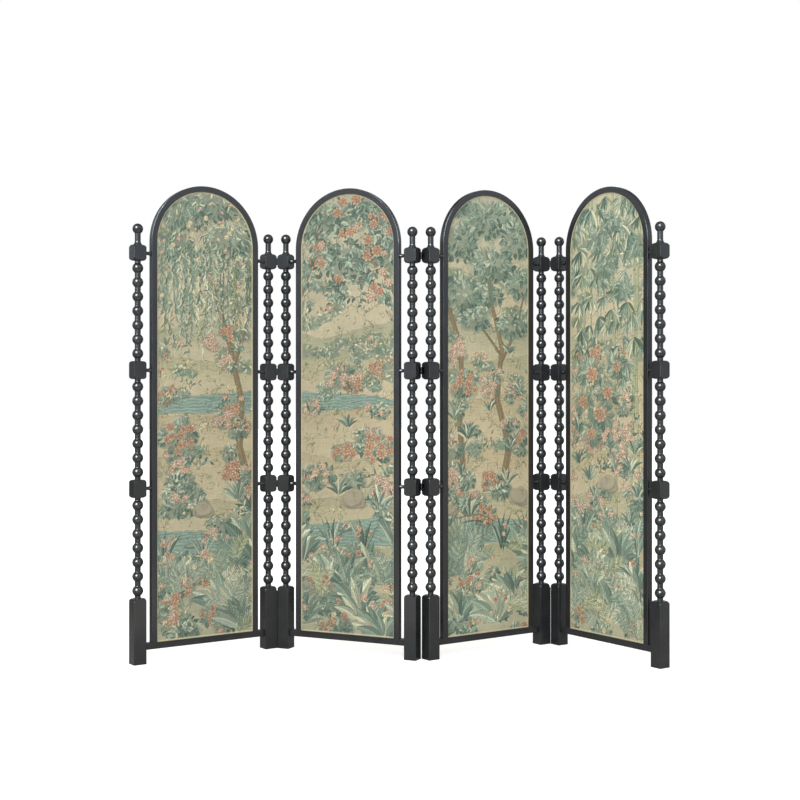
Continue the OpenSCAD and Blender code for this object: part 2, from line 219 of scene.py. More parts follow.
def makeSteel():
    s = blackenedSteel
    material, tree = startMaterial("blackened_steel_oiled")
    place = addNode(tree, "TexCoord").outputs["Object"]
    noise = {"Vector": place, "Scale": 1000 / s["mottle"], "Detail": 4.0}
    patina = addNode(tree, "TexNoise", noise).outputs["Fac"]
    colour = addNode(tree, "ValToRGB", {"Fac": patina}, stops=s["patina"])
    gloss = addNode(tree, "MapRange", (patina, 0.3, 0.7, *s["roughness"]))
    bump = addNode(tree, "Bump", {"Height": patina, "Strength": 1.0, "Distance": s["relief"] / 1000})
    finishMaterial(tree, addNode(tree, "BsdfPrincipled", {
        "Base Color": colour.outputs["Color"], "Metallic": 1.0, "Roughness": gloss.outputs[0],
        "Normal": bump.outputs[0],
    }))
    return material


# Birch plywood, sanded: pale with long faint figure; only its edges could ever show
birchPly = {
    "tones": ((0.35, "#a98655"), (0.7, "#c9ab7c")),
    "figure": 9.0,  # mm across
    "stretch": 0.06,  # how much slower it changes upwards
    "roughness": 0.62,
    "relief": 0.1,  # mm
}


def makePly():
    s = birchPly
    material, tree = startMaterial("birch_plywood_sanded")
    place = addNode(tree, "TexCoord").outputs["Object"]
    laid = addNode(tree, "Mapping", {"Vector": place, "Scale": (1, 1, s["stretch"])}).outputs[0]
    noise = {"Vector": laid, "Scale": 1000 / s["figure"], "Detail": 5.0, "Distortion": 0.8}
    figure = addNode(tree, "TexNoise", noise).outputs["Fac"]
    colour = addNode(tree, "ValToRGB", {"Fac": figure}, stops=s["tones"])
    bump = addNode(tree, "Bump", {"Height": figure, "Strength": 1.0, "Distance": s["relief"] / 1000})
    finishMaterial(tree, addNode(tree, "BsdfPrincipled", {
        "Base Color": colour.outputs["Color"], "Roughness": s["roughness"], "Normal": bump.outputs[0],
    }))
    return material


upright = makeBeech("ebonised_beech_upright", "up")
turnedPost = makeBeech("ebonised_beech_turned", "up", turned=True)
lying = makeBeech("ebonised_beech_lying", "along")
steel, ply = makeSteel(), makePly()
nodeFinishes = {
    "left_post": turnedPost, "right_post": turnedPost, "left_stile": upright, "right_stile": upright,
    "spools": lying, "bottom_rail": lying, "back_bead": upright, "board": ply,
    "hinge_left_plates": steel, "hinge_right_plates": steel, "hinge_pins": steel, "hinge_screws": steel,
}
for leaf in leaves:
    head = nodes[f"arched_head_{leaf}"]
    head.material_slots[0].material = makeBeech(f"ebonised_beech_bent_{leaf}", "bent", leaf)
for name, node in nodes.items():
    kind = name.rsplit("_", 1)[0]
    if kind in nodeFinishes:
        node.material_slots[0].material = nodeFinishes[kind]
print("Wood, steel and board finished")


# The panels' cloths, cut and stretched: a grid that follows the arched panel
panelCloth = {
    "cell": 2.9,  # mm between the grid's corners where the print shows
    "backCell": 9.0,
    "crowding": 0.28,  # how much closer the columns stand at the sides, where the arch is steep
    "lift": 0.05,  # mm that the cloth's face lies inside the solid's
    "slack": 0.12,  # mm; its ripple rises to about twice this where it lies free
    "still": 14.0,  # mm along the lip where it lies tight
    "waves": (70, 110, 7),  # mm in which the shortest turns a radian along and up; how many there are
}


def shapeOfPanel(leaf):
    # sizes in mm from the CAD nodes: the cloth's outline and what the lip leaves open
    cloth, head, rail, back = (
        onLeaf(name, leaf) * 1000 for name in ("front_cloth", "arched_head", "bottom_rail", "back_cloth")
    )
    half = cloth[:, 0].max()
    spring = cloth[:, 2].max() - half
    inLip = head[:, 2] > spring + 1
    return {
        "half": half, "spring": spring, "foot": cloth[:, 2].min(), "head": cloth[:, 2].max(),
        "open": np.hypot(head[inLip, 0], head[inLip, 2] - spring).min(), "sill": rail[:, 2].max(),
        "front": cloth[:, 1].min(), "back": back[:, 1].max(),
    }


# The print on the cloth: a garden with willow, quince, maple, bamboo, peonies, ferns and water.
# It is painted in sRGB, in millimetres, as one long cloth that the leaves cut up.
gardenPrint = {
    "pitch": 1.5,  # mm of cloth to one step of the painting
    "seed": 41,
    "bite": 0.8,  # how far each tone stands off from the mean of what surrounds it
    "reach": 10.5,  # mm across those surroundings
    "fade": 0.05,  # how far the colours have gone back towards the ground's
    "paintedShade": ((0.1, 0.4, 0.6), (0.93, 0.92, 1.0)),  # painted shade: places along the cloth, and how light the cloth is painted there
    "mottle": ((12, 0.035), (90, 0.04)),  # steps across its clouds, and their strength
    "bare": 4.5,  # mm of unprinted edge that shows along the lip
    "bareFade": 1.5,
    "bareCover": 0.9,
    "leafRib": (0.16, 0.22),  # width and lightness
    "leafEdges": (-0.24, -0.24, 0.16),  # two inked edges to each pale one
    "leafEdge": 1.3,  # steps
    "colours": {
        "ground": ("#c9c4a7", "#d1c6a5", "#d7caa9", "#d0c5a6", "#c4c1a6"),  # from the foot up
        "hill": ("#b3a47c", "#a3a37c", "#98a184"),
        "water": ("#86a79e", "#6d958c", "#bfcab6"),
        "ink": ("#5e5d48",),
        "bark": ("#958364", "#675c48"),
        "shade": ("#62796c",),
        "green": ("#52675b", "#687e70", "#849886", "#a6b19c", "#c5c8aa"),
        "olive": ("#6d7457", "#8d9472", "#aeb38c"),
        "coral": ("#af876d", "#be9c7f", "#98705b"),
        "blush": ("#cab39a", "#ba9c85", "#dcd2b9"),
        "straw": ("#e4d7b3", "#d2c397"),
        "rock": ("#b8ad94", "#8b8773"),
    },
}
palette = {name: [toneOf(text) for text in texts] for name, texts in gardenPrint["colours"].items()}
green, olive, coral = palette["green"], palette["olive"], palette["coral"]
blush, straw = palette["blush"], palette["straw"]
bark, darkBark = palette["bark"]
ink, shade = palette["ink"][0], palette["shade"][0]
gold = straw + coral[:1]
pitch = gardenPrint["pitch"]
leafEdges = cycle(gardenPrint["leafEdges"])
rng = np.random.default_rng(gardenPrint["seed"])
draw = rng.uniform
everywhere = (slice(None), slice(None))


def softNoise(shape, cells, octaves=3):
    # smooth noise from -1 to 1: coarse random grids, blown up and added
    total = np.zeros(shape)
    for octave in range(octaves):
        rows, cols = (max(2, int(side / cells * 2**octave)) + 2 for side in shape)
        grid = draw(-1, 1, (rows, cols))
        v, u = np.linspace(0, rows - 1.001, shape[0]), np.linspace(0, cols - 1.001, shape[1])
        i, j = v.astype(int)[:, None], u.astype(int)[None, :]
        a, b = v[:, None] - i, u[None, :] - j
        a, b = a * a * (3 - 2 * a), b * b * (3 - 2 * b)
        total += (
            (grid[i, j] * (1 - b) + grid[i, j + 1] * b) * (1 - a)
            + (grid[i + 1, j] * (1 - b) + grid[i + 1, j + 1] * b) * a
        ) * 0.6**octave
    return total / sum(0.6**octave for octave in range(octaves))


def soften(values, steps):
    # the mean of what lies up to so many steps to each side
    for axis in (0, 1):
        edges = [(steps + 1, steps) if k == axis else (0, 0) for k in range(values.ndim)]
        sums = np.cumsum(np.pad(values, edges, mode="edge"), axis=axis)
        last = np.split(sums, [2 * steps + 1], axis=axis)[1]
        first = np.split(sums, [-2 * steps - 1], axis=axis)[0]
        values = (last - first) / (2 * steps + 1)
    return values


def within(value):
    # held between 0 and 1
    return np.clip(value, 0, 1)


def pick(tones):
    return tones[rng.integers(len(tones))]


def near(x, z, wide, high):
    # the part of the painting round a point, and how far each of its steps lies from it
    spans = []
    for at, reach, places in ((z, high, heights), (x, wide, lengths)):
        first, last = (int((at + side * reach - places[0]) / pitch) for side in (-1, 1))
        spans.append(slice(max(0, first), max(0, last + 2)))
    rows, cols = spans
    return (rows, cols), lengths[cols][None, :] - x, heights[rows][:, None] - z


def lay(part, cover, tone):
    cover = cover[..., None]
    rgb[part] += (tone - rgb[part]) * cover


def blade(x, z, length, width, lean, tone, bend=0.0, strength=0.9, veins=0):
    # a leaf or petal round its middle: pointed, ribbed, lit along one half, with an edge
    part, dx, dz = near(x, z, length * 0.56, length * 0.56)
    c, s = cos(lean), sin(lean)
    along = (dx * c + dz * s) / (length / 2)
    across = (dz * c - dx * s + bend * length * (along**2 - 0.3)) / (width / 2)
    room = (within(1 - along**2) ** 0.75 * (1.05 - 0.25 * along) - abs(across)) * width / 2 / pitch
    ribWide, ribLight = gardenPrint["leafRib"]
    value = 1 + 0.1 * np.tanh(across * 3) + ribLight * np.exp(-((across / ribWide) ** 2))
    value += next(leafEdges) * within(1 - room / gardenPrint["leafEdge"])
    if veins:
        value += 0.07 * np.cos(pi * veins * (along - 0.5 * abs(across)))
    lay(part, within(room + 0.5) * strength, tone * value[..., None])


def leafFrom(x, z, out, length, width, tone, bend=0.0, strength=0.9, veins=0):
    # a blade that starts at a point
    x, z = x + cos(out) * length / 2, z + sin(out) * length / 2
    blade(x, z, length, width, out, tone, bend, strength, veins)


def stroke(points, wide, thin, tone, strength=0.85):
    # a drawn line that thins from its first point to its last; a wide one is darker at its sides
    points = np.array(points, float)
    widths = np.linspace(wide, thin, len(points))
    for p, q, a, b in zip(points, points[1:], widths, widths[1:]):
        middle, half = (p + q) / 2, (q - p) / 2
        part, dx, dz = near(*middle, *(abs(half) + a))
        t = np.clip((dx * half[0] + dz * half[1]) / max(half @ half, 1e-9), -1, 1)
        off = np.hypot(dx - t * half[0], dz - t * half[1])
        room = ((a + b) / 4 + (b - a) / 4 * t - off) / pitch
        side = (1 - 0.16 * within(1 - room / 1.5))[..., None] if a > 4 else 1
        lay(part, within(room + 0.5) * strength, tone * side)


def bow(start, end, sag, steps=10):
    # points from start to end on a line that bows sideways by sag
    (x0, z0), (x1, z1) = start, end
    t = np.linspace(0, 1, steps)
    out = np.array([z0 - z1, x1 - x0]) / max(hypot(x1 - x0, z1 - z0), 1e-9)
    arc = 4 * t * (1 - t) * sag
    return np.stack([x0 + (x1 - x0) * t + out[0] * arc, z0 + (z1 - z0) * t + out[1] * arc], axis=1)


def wash(x, z, wide, high, tone, strength=0.6, rough=0.35):
    # a soft blot with a ragged edge
    part, dx, dz = near(x, z, wide * 1.4, high * 1.4)
    r = np.hypot(dx / wide, dz / high) + rough * grain[part]
    lay(part, within((1.08 - r) / 0.3) * strength, tone)


def foliage(x, z, wide, high, size, tones, hang=0.3, fill=1.0, slim=0.42):
    # a cloud of leaves: shade first, then darker leaves low and lighter ones high and to the left
    wash(x, z - high * 0.1, wide, high, shade, 0.5)
    count = int(fill * 3.4 * wide * high / (size * size * slim))
    r, a = np.sqrt(draw(0, 1, count)), draw(0, 2 * pi, count)
    spots = np.stack([r * np.cos(a), r * np.sin(a)], axis=1)
    for u, v in spots[np.argsort(spots[:, 1] - 0.4 * spots[:, 0] + rng.normal(0, 0.45, count))]:
        light = 0.5 + 0.33 * v - 0.18 * u + rng.normal(0, 0.2)
        tone = tones[int(np.clip(light * len(tones), 0, len(tones) - 1))]
        lean = atan2(v - hang, u) + rng.normal(0, 0.55)
        length = size * draw(0.7, 1.25)
        tone = tone * draw(0.93, 1.07)
        blade(x + u * wide, z + v * high, length, length * slim, lean, tone, rng.normal(0, 0.12))


def blossom(x, z, radius, tones):
    # rings of petals round a darker eye, three where the flower is big
    turn = draw(0, pi)
    rings = ((1.0, 7, tones[1]), (0.62, 5, tones[0]))
    if radius > 18:
        rings = ((1.0, 8, tones[1]), (0.74, 7, tones[0]), (0.44, 5, tones[1]))
    for ring, petals, tone in rings:
        for k in range(petals):
            lean = turn + ring + 2 * pi * k / petals
            blade(
                x + cos(lean) * radius * ring * 0.52, z + sin(lean) * radius * ring * 0.46,
                radius * ring, radius * ring * 0.82, lean, tone * draw(0.94, 1.08), strength=0.88,
            )
    wash(x, z, radius * 0.22, radius * 0.2, tones[2], 0.8, 0.1)


def sprig(x, z, lean, length, size, tones, bend=0.15, slim=0.36, bloom=None):
    # a twig with leaves in pairs, and a flower at its tip where bloom gives its tones
    end = (x + cos(lean) * length, z + sin(lean) * length)
    line = bow((x, z), end, bend * length, max(4, int(length / (size * 0.55))))
    stroke(line, 2.6, 1.2, darkBark, 0.75)
    for k, (p, q) in enumerate(zip(line, line[1:])):
        way = atan2(*(q - p)[::-1])
        for side in (-1, 1):
            out = way + side * draw(0.5, 0.95)
            reach = size * draw(0.75, 1.15) * (1 - 0.35 * k / len(line))
            leafFrom(*q, out, reach, reach * slim, pick(tones) * draw(0.94, 1.06), rng.normal(0, 0.1))
    if bloom:
        blossom(*end, size * draw(0.6, 0.8), bloom)


def outward(bend, lean):
    # a bend to the side that the leaf leans to
    return copysign(bend, cos(lean))


def fern(x, z, lean, length, tones):
    # an arching frond: a rib with narrow leaflets that shorten towards its tip
    end = (x + cos(lean) * length, z + sin(lean) * length)
    line = bow((x, z), end, outward(0.14, lean) * length, int(length / 7))
    tone = pick(tones)
    for k, (p, q) in enumerate(zip(line, line[1:])):
        way = atan2(*(q - p)[::-1])
        reach = length * 0.36 * sin(pi * (0.16 + 0.8 * k / len(line))) ** 0.8
        for side in (-1, 1):
            leafFrom(*q, way + side * 0.85, reach, 5.2, tone * draw(0.92, 1.08), 0.05 * side)
    stroke(line, 2.6, 1.2, tone * 0.8, 0.8)


def fan(x, z, count, length, lean, spread, tones, slim=0.2, bend=0.08, veins=0):
    # blades that leave one point
    for k in range(count):
        out = lean + spread * ((k + 0.5) / count - 0.5) + rng.normal(0, 0.06)
        reach = length * draw(0.75, 1.1)
        tone = pick(tones) * draw(0.95, 1.06)
        leafFrom(x, z, out, reach, reach * slim, tone, outward(bend, out), 0.92, veins)


def scatter(count, low, high, share):
    # places between two heights, far ones first, that leave patches of the ground bare
    spots = [(draw(0, lengths[-1]), draw(low, high)) for _ in range(count)]
    for x, z in sorted(spots, key=lambda spot: -spot[1]):
        if patches[int((z - heights[0]) / pitch), int(x / pitch)] < share:
            yield x, z


def willow(x, z, wide, drop, count):
    # hanging switches with narrow leaves
    for _ in range(count):
        top = (x + draw(-1, 1) * wide, z + draw(-30, 30))
        long = drop * draw(0.55, 1.0)
        end = (top[0] + rng.normal(0, 0.1) * long, top[1] - long)
        line = bow(top, end, rng.normal(0, 0.07) * long, int(long / 11))
        stroke(line, 1.6, 1.0, olive[0], 0.6)
        tone = pick(green[1:] + olive[1:2])
        for p in line[1:]:
            lean = -pi / 2 + rng.normal(0, 0.5)
            size = draw(18, 30)
            leafFrom(*p, lean, size, size * 0.24, tone * draw(0.9, 1.12), rng.normal(0, 0.1))


def trunk(points, wide, thin):
    # a tree's stem or limb, with bark lines along it
    points = np.array(points, float)
    t = np.linspace(0, len(points) - 1, len(points) * 6)
    line = np.stack([np.interp(t, range(len(points)), points[:, k]) for k in (0, 1)], axis=1)
    line[:, 0] += 5 * np.sin(t * 2.1) * wide / 30
    stroke(line, wide, thin, bark, 0.92)
    for share, strength in ((0.32, 0.6), (0.12, 0.35), (-0.38, 0.25)):
        stroke(line + np.array([wide * share / 1.6, 0]), 2.4, 1.0, darkBark, strength)


def bamboo(x, z, top, lean, wide):
    # a jointed cane, darker along one side, with fans of narrow leaves
    joint, _, cane = olive
    while z < top:
        step = draw(70, 105)
        after = x + lean * step
        stroke([(x, z), (after, z + step)], wide, wide * 0.92, cane, 0.9)
        stroke([(x + wide * 0.3, z), (after + wide * 0.3, z + step)], 1.8, 1.8, joint, 0.55)
        stroke([(x - wide * 0.6, z), (x + wide * 0.6, z)], 2.6, 2.6, joint, 0.8)
        if draw() < 0.75:
            side = rng.choice((-1, 1))
            tip = (x + side * draw(35, 75), z + draw(15, 60))
            stroke(bow((x, z), tip, 6 * side), 2.0, 1.2, joint, 0.7)
            fan(*tip, 5, draw(48, 74), -pi / 2 + side * 0.5, 1.5, green[1:4], 0.17)
        x, z = after, z + step


def peonyBush(x, z, wide, high, flowers, tones):
    foliage(x, z, wide, high, 27, green[:4], 0.1, 0.9, 0.5)
    for k in range(flowers):
        a = 2 * pi * (k * 0.382 + draw(0, 0.1))
        r = sqrt((k + 0.6) / flowers) * 0.86
        blossom(x + cos(a) * r * wide, z + sin(a) * r * high, draw(15, 23), tones)


def rock(x, z, wide, high):
    pale, dark = palette["rock"]
    for u, v, s in ((0.35, -0.2, 0.7), (-0.4, -0.1, 0.62), (0.0, 0.15, 0.85)):
        wash(x + u * wide + 4, z + v * high - 5, wide * s, high * s, dark, 0.85, 0.3)
        wash(x + u * wide, z + v * high, wide * s * 0.9, high * s * 0.9, pale, 0.9, 0.3)
        for _ in range(5):
            at = (x + (u + draw(-0.4, 0.4) * s) * wide, z + (v + 0.55 * s) * high)
            end = (at[0] + draw(-6, 14), at[1] - high * s * draw(0.5, 1.1))
            stroke(bow(at, end, 5), 1.8, 1.0, dark, 0.6)


def hill(line, tone, depth, strength=0.6):
    # ground under a crest: strongest at the crest, inked along it, hatched down the slope
    crest = np.interp(lengths, *np.array(line, float).T) + 7 * waver
    below = crest[None, :] - heights[:, None]
    lay(everywhere, within(below / 4) * np.exp(-np.clip(below, 0, None) / depth) * strength, tone)
    lay(everywhere, within(1.6 - abs(below)) * within(0.35 + grain) * 0.7, ink)
    for _ in range(int(len(lengths) / 7)):
        i = rng.integers(len(lengths) - 30)
        x, z = lengths[i], crest[i] - draw(4, depth * 0.9)
        slope = (crest[i + 29] - crest[i]) / (29 * pitch)
        run = draw(18, 52)
        stroke(bow((x, z), (x + run, z + slope * run), draw(-3, 5), 6), 1.3, 1.0, ink, draw(0.15, 0.4))


def water(high, low):
    # a reach of water between two banks, with ripples and pale glints
    top = np.interp(lengths, *np.array(high, float).T) + 5 * waver
    foot = np.interp(lengths, *np.array(low, float).T) + 6 * waver[::-1]
    z = heights[:, None]
    inside = within((top[None, :] - z) / 5) * within((z - foot[None, :]) / 5)
    ripple = 0.5 + 0.5 * np.sin(2 * pi * (z + 9 * grain) / 12.5)
    plain, deep, glint = palette["water"]
    lay(everywhere, inside * (0.72 + 0.12 * ripple), plain + (deep - plain) * ripple[..., None])
    for _ in range(int(len(lengths) / 3)):
        i = rng.integers(len(lengths))
        if top[i] - foot[i] > 16:
            x, z = lengths[i], draw(foot[i] + 5, top[i] - 5)
            run = draw(12, 40)
            tone = glint if draw() < 0.6 else shade
            stroke(bow((x, z), (x + run, z + draw(-2, 2)), draw(-3, 3), 5), 1.8, 1.0, tone, 0.6)
    for bank in (top, foot):
        for i in range(0, len(lengths) - 12, 9):
            if draw() < 0.6 and top[i] - foot[i] > 8:
                stroke([(lengths[k], bank[k]) for k in (i, i + 10)], 2.2, 1.2, ink, 0.45)


def grass(x, z, wide, count, size):
    for _ in range(count):
        at = (x + draw(-1, 1) * wide, z + rng.normal(0, 5))
        tip = (at[0] + rng.normal(0, 0.4) * size, at[1] + size * draw(0.5, 1.1))
        stroke(bow(at, tip, rng.normal(0, 0.12) * size, 5), 2.2, 0.9, pick(green + olive), 0.7)


def inkSketch(x, z, size):
    # loose pen lines of stems and curled leaves on open ground
    lean = draw(0.6, 2.5)
    for _ in range(rng.integers(2, 5)):
        out = lean + rng.normal(0, 0.6)
        end = (x + cos(out) * size, z + sin(out) * size)
        stroke(bow((x, z), end, rng.normal(0, 0.25) * size, 7), 1.5, 0.9, ink, draw(0.25, 0.5))
        if draw() < 0.5:
            blade(*end, size * 0.5, size * 0.22, out + rng.normal(0, 0.5), pick(olive), 0.1, 0.5)


# The ground's colours, from the cloths' foot to their head, and the noises that the rest uses
panel = shapeOfPanel(leaves[0])
clothWide, foot, head = 2 * panel["half"], panel["foot"], panel["head"]
long = clothWide * len(leaves)
lengths, heights = np.arange(0, long + pitch, pitch), np.arange(foot, head + pitch, pitch)
shape = (len(heights), len(lengths))
grain = softNoise(shape, 22)
waver = softNoise((2, shape[1]), 60)[0]
patches = softNoise(shape, 75, 2)
grounds = np.array(palette["ground"])
height = within((heights - foot) / (head - foot))[:, None] + 0.09 * softNoise(shape, 180)
share = np.linspace(0, 1, len(grounds))
rgb = np.stack([np.interp(height, share, grounds[:, k]) for k in range(3)], axis=-1)

# Far hills, the lake and the stream, then pen lines and far bushes
nearHill, midHill, farHill = palette["hill"]
hill([(0, 1240), (240, 1290), (520, 1225), (900, 1300), (1250, 1235), (1684, 1285)], farHill, 80)
hill([(0, 1150), (330, 1120), (640, 1185), (980, 1130), (1330, 1170), (1684, 1110)], midHill, 75, 0.5)
water(
    [(0, 985), (421, 1020), (760, 1000), (960, 955), (1684, 955)],
    [(0, 925), (421, 930), (760, 950), (960, 955), (1684, 955)],
)
hill([(0, 922), (421, 925), (820, 965), (1200, 1010), (1684, 990)], nearHill, 110, 0.5)
hill([(0, 760), (300, 800), (640, 745), (1000, 815), (1360, 770), (1684, 825)], nearHill, 90, 0.45)
hill([(0, 610), (421, 585), (800, 640), (1263, 600), (1684, 650)], midHill, 70, 0.5)
water(
    [(0, 490), (300, 475), (760, 530), (1263, 510), (1684, 550)],
    [(0, 385), (300, 395), (760, 420), (1263, 425), (1684, 430)],
)
hill([(0, 385), (300, 392), (760, 418), (1263, 422), (1684, 428)], midHill, 120)
hill([(0, 250), (500, 215), (1000, 265), (1684, 235)], farHill, 120)
for _ in range(1000):
    inkSketch(draw(0, long), draw(430, 1700), draw(16, 42))
for x, z in scatter(130, 1060, 1700, 0.5):
    foliage(x, z, draw(26, 60), draw(18, 36), 17, green[2:] + olive[1:], 0.2, 0.6, 0.5)
print("Hills and water painted")

# The head of each leaf: willow, blossoming boughs, a maple and bamboo
trunk([(395, 640), (350, 800), (372, 980), (318, 1180), (240, 1400), (215, 1640)], 34, 15)
trunk([(335, 1120), (400, 1330), (470, 1480)], 17, 8)
for x, z, wide, high in (
    (120, 1690, 110, 70), (250, 1730, 120, 60), (90, 1560, 80, 60), (300, 1600, 110, 70),
    (395, 1500, 70, 60), (190, 1500, 90, 50),
):
    foliage(x, z, wide, high, 25, green, 0.9, 0.9, 0.3)
willow(120, 1580, 115, 400, 34)
willow(330, 1540, 100, 320, 26)
for k in range(34):
    blossom(draw(20, 400), draw(1370, 1740), draw(7, 12), gold if k % 2 else blush)

trunk([
    (930, 640), (905, 900), (925, 1180), (862, 1330), (800, 1450), (700, 1560), (590, 1640), (480, 1690),
], 30, 7)
trunk([(830, 1400), (742, 1432), (640, 1440), (545, 1425)], 12, 5)
trunk([(780, 1480), (770, 1600), (720, 1710)], 11, 5)
for x, z, wide, high in (
    (560, 1690, 120, 70), (740, 1700, 110, 70), (620, 1520, 130, 60), (800, 1560, 60, 80),
):
    foliage(x, z, wide, high, 30, green[:4], 0.6, 0.7, 0.46)
for k in range(120):
    x, z = draw(430, 840), draw(1370, 1780)
    lean, length, size = draw(0, 2 * pi), draw(38, 84), draw(24, 36)
    bloom = coral if k % 4 == 0 else blush if k % 7 == 1 else None
    sprig(x, z, lean, length, size, green[:4], rng.normal(0, 0.15), 0.46, bloom)

trunk([(1118, 640), (1150, 800), (1102, 980), (1120, 1180), (1060, 1360), (1050, 1560)], 36, 14)
trunk([(1110, 1120), (1190, 1260), (1235, 1400)], 16, 8)
trunk([(1112, 1160), (1010, 1270), (930, 1350)], 14, 7)
for x, z, wide, high in (
    (930, 1390, 92, 70), (1050, 1690, 130, 84), (905, 1590, 95, 80), (1200, 1620, 96, 86),
    (1075, 1510, 115, 70), (1225, 1440, 88, 66), (985, 1290, 80, 48), (1175, 1275, 90, 52),
    (880, 1740, 90, 60), (1235, 1750, 90, 50), (1060, 1390, 70, 44),
):
    foliage(x, z, wide, high, 24, green[:4], 0.15, 1.0, 0.6)

for x, lean, wide in (
    (1652, -0.03, 12), (1600, 0.045, 15), (1532, -0.02, 11), (1330, 0.05, 13), (1385, 0.01, 10),
):
    bamboo(x, 520 if x > 1500 else 880, 1790, lean, wide)
for _ in range(95):
    x, z, size = draw(1266, 1684), draw(1180, 1780), draw(50, 86)
    fan(x, z, 6, size, -pi / 2 + rng.normal(0, 0.5), 1.7, green + olive[1:2], 0.18)
for x, z in ((1478, 1500), (1500, 1660), (1425, 1600), (1560, 1400), (1300, 1720), (1640, 1560)):
    foliage(x, z, 60, 48, 24, green[1:4], 0.4, 0.8, 0.42)
print("Trees painted")

# The open middle ground: clumps, ferns, grasses and flowers, bigger the nearer they stand
for x, z in ((392, 640), (928, 640), (1120, 640), (1600, 520), (1345, 880)):
    grass(x, z, 34, 26, 46)
    foliage(x - 16, z - 4, 44, 18, 19, green[:4], 0.1, 0.9, 0.5)
far, close = 1240, 500
for n, (x, z) in enumerate(scatter(300, close, far, 0.22)):
    grown = (far - z) / (far - close)
    size = 12 + 9 * grown
    tones = green[: 4 + n % 2] if grown > 0.4 else green[1:] + olive[1:2]
    if n % 5 == 0:
        peonyBush(x, z, 34 + 26 * grown, 26 + 20 * grown, int(4 + 4 * grown), blush if n % 3 else coral)
    elif n % 5 in (1, 2):
        wide, high = (24 + 34 * grown) * draw(0.8, 1.3), (16 + 22 * grown) * draw(0.8, 1.2)
        foliage(x, z, wide, high, size, tones, 0.2, 0.9, 0.5)
    elif n % 5 == 3:
        fan(x, z, rng.integers(7, 12), (34 + 52 * grown) * draw(0.8, 1.2), pi / 2, 2.3, tones, 0.16, 0.1)
    else:
        bloom = blush if n % 3 == 0 else None
        for lean in draw(0.3, 2.85, 3):
            sprig(x, z, lean, 34 + 34 * grown, size * 1.3, tones, outward(0.2, lean), 0.34, bloom)
for x, z, wide, high, count, tones in (
    (95, 840, 78, 66, 9, coral), (600, 1070, 70, 48, 6, blush), (760, 800, 82, 62, 9, coral),
    (520, 690, 64, 44, 5, blush), (935, 1040, 72, 56, 7, coral), (1500, 860, 74, 54, 7, blush),
    (1250, 840, 58, 46, 5, coral),
):
    peonyBush(x, z, wide, high, count, tones)
for x, z, radius in (
    (1395, 1080, 34), (1480, 1010, 29), (1345, 975, 27), (1440, 925, 33), (1530, 1110, 25), (1390, 850, 26),
):
    foliage(x, z, radius * 2.1, radius * 1.8, 34, green[:4], 0.2, 0.9, 0.5)
    blossom(x, z, radius, coral)
for x, z, wide, high in (
    (200, 560, 46, 34), (655, 600, 62, 44), (1205, 600, 56, 42), (1480, 660, 52, 40), (858, 560, 40, 26),
):
    rock(x, z, wide, high)
for k in range(110):
    x, z = draw(0, long), draw(520, 1200)
    grass(x, z, draw(14, 34), rng.integers(8, 16), draw(16, 34))
    for _ in range(rng.integers(2, 5) if k % 2 else 0):
        blossom(x + draw(-28, 28), z + draw(4, 30), draw(6, 10), (coral, blush, gold)[k % 3])

# A footbridge over the stream: two bowed rails and its posts
for rise, tone in ((0, darkBark), (24, bark)):
    stroke(bow((865, 480 + rise), (1085, 480 + rise), 34, 16), 6, 6, tone, 0.9)
for t in np.linspace(0.06, 0.94, 11):
    x, z = 865 + 220 * t, 480 + 4 * t * (1 - t) * 34
    stroke([(x, z - (22 if 0.2 < t < 0.8 else 8)), (x, z + 26)], 3.2, 3.2, darkBark, 0.8)
print("Middle ground painted")

# The foot of each leaf: lotus, irises, broad leaves, ferns and low flowers
for x, z in (
    (60, 442), (150, 425), (250, 440), (520, 455), (620, 480), (720, 460), (1180, 480), (1290, 462),
    (1390, 480), (1560, 500), (1650, 480),
):
    wash(x, z, draw(26, 40), draw(9, 13), green[1], 0.85, 0.1)
    wash(x - 3, z + 2, 22, 6.5, green[3], 0.7, 0.1)
    if draw() < 0.6:
        fan(x + 8, z + 4, 7, 24, pi / 2, 2.6, blush, 0.42)
        fan(x + 8, z + 4, 4, 19, pi / 2, 1.3, coral[:2], 0.42)
for x in (30, 200, 330, 390, 440, 570, 700, 850, 900, 1010, 1120, 1240, 1340, 1470, 1520, 1640):
    z = float(np.interp(x, (0, 760, 1684), (350, 385, 400)))
    fan(x, z, 11, draw(95, 160), pi / 2, 1.1, green[:4], 0.085, 0.06)
    for n in range(3):
        blossom(x + draw(-34, 34), z + draw(60, 118), draw(9, 14), blush if n else coral)
for n, (x, z) in enumerate(scatter(180, 60, 400, 2.0)):
    out = draw(0.3, 2.85)
    if n % 6 in (0, 3):
        foliage(x, z, draw(40, 74), draw(26, 44), draw(17, 26), green[: 4 + n % 2], 0.1, 0.9, 0.5)
    elif n % 6 == 1:
        fan(x, z, 10, draw(100, 150), pi / 2, 2.7, green[1:], 0.3, 0.1, 9)
    elif n % 6 == 2:
        for lean in draw(0.2, 2.95, 4):
            fern(x, z, lean, draw(95, 150), green[2:] + olive[2:])
    elif n % 6 == 4:
        sprig(x, z, out, draw(60, 105), draw(20, 30), green[1:] + olive[1:], outward(0.2, out), 0.3, blush)
    else:
        peonyBush(x, z, draw(36, 54), draw(28, 40), 4, coral if n % 4 else blush)
for k in range(60):
    blossom(draw(0, long), draw(80, 400), draw(8, 15), (coral, blush, gold)[k % 3])
for _ in range(50):
    grass(draw(0, long), draw(70, 360), 26, 12, draw(26, 44))
